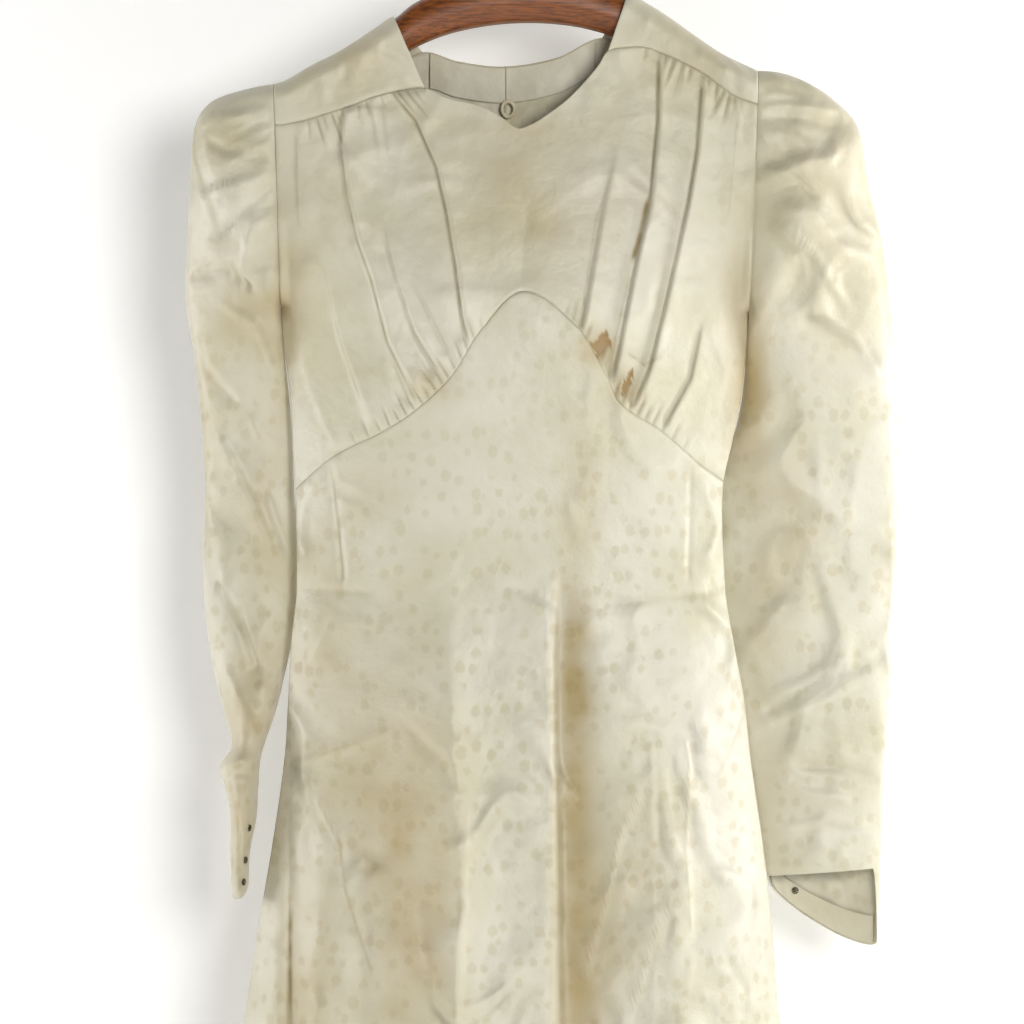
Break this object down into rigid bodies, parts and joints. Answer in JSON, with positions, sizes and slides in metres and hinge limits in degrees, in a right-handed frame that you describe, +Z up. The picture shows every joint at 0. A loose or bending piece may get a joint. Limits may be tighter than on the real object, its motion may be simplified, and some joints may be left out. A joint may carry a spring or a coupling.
{
  "type": "wedding dress on a wooden hanger",
  "caption": "Long-sleeved ivory satin wedding dress with gathered bodice and flared skirt, hanging on a contoured wooden hanger.",
  "frame": {"origin": "inside top of the hanger's hook, where it hangs on a rail", "axes": "+Z up along the hanging dress, the front of the dress faces -Y, +X to the viewer's right"},
  "size_m": [0.6252, 0.2536, 1.5233],
  "materials": {
    "satin": "silk satin with a woven tone-on-tone spot",
    "hanger_wood": "varnished",
    "hook_steel": "bright wire",
    "stud_metal": "blackened"
  },
  "bodies": {
    "root": {"bodice_front": "satin", "skirt_front": "satin", "bodice_back_left": "satin", "bodice_back_right": "satin", "skirt_back_left": "satin", "skirt_back_right": "satin", "yoke_left": "satin", "yoke_right": "satin", "sleeve_left": "satin", "sleeve_right": "satin", "back_neck_facing_left": "satin", "back_neck_facing_right": "satin", "cuff_facing_right": "satin", "button_loop": "satin", "back_button": "satin", "press_stud_left_1": "stud_metal", "press_stud_left_2": "stud_metal", "press_stud_left_3": "stud_metal", "press_stud_right": "stud_metal", "hanger_arms": "hanger_wood", "hanger_hook": "hook_steel"}
  },
  "joints": []
}
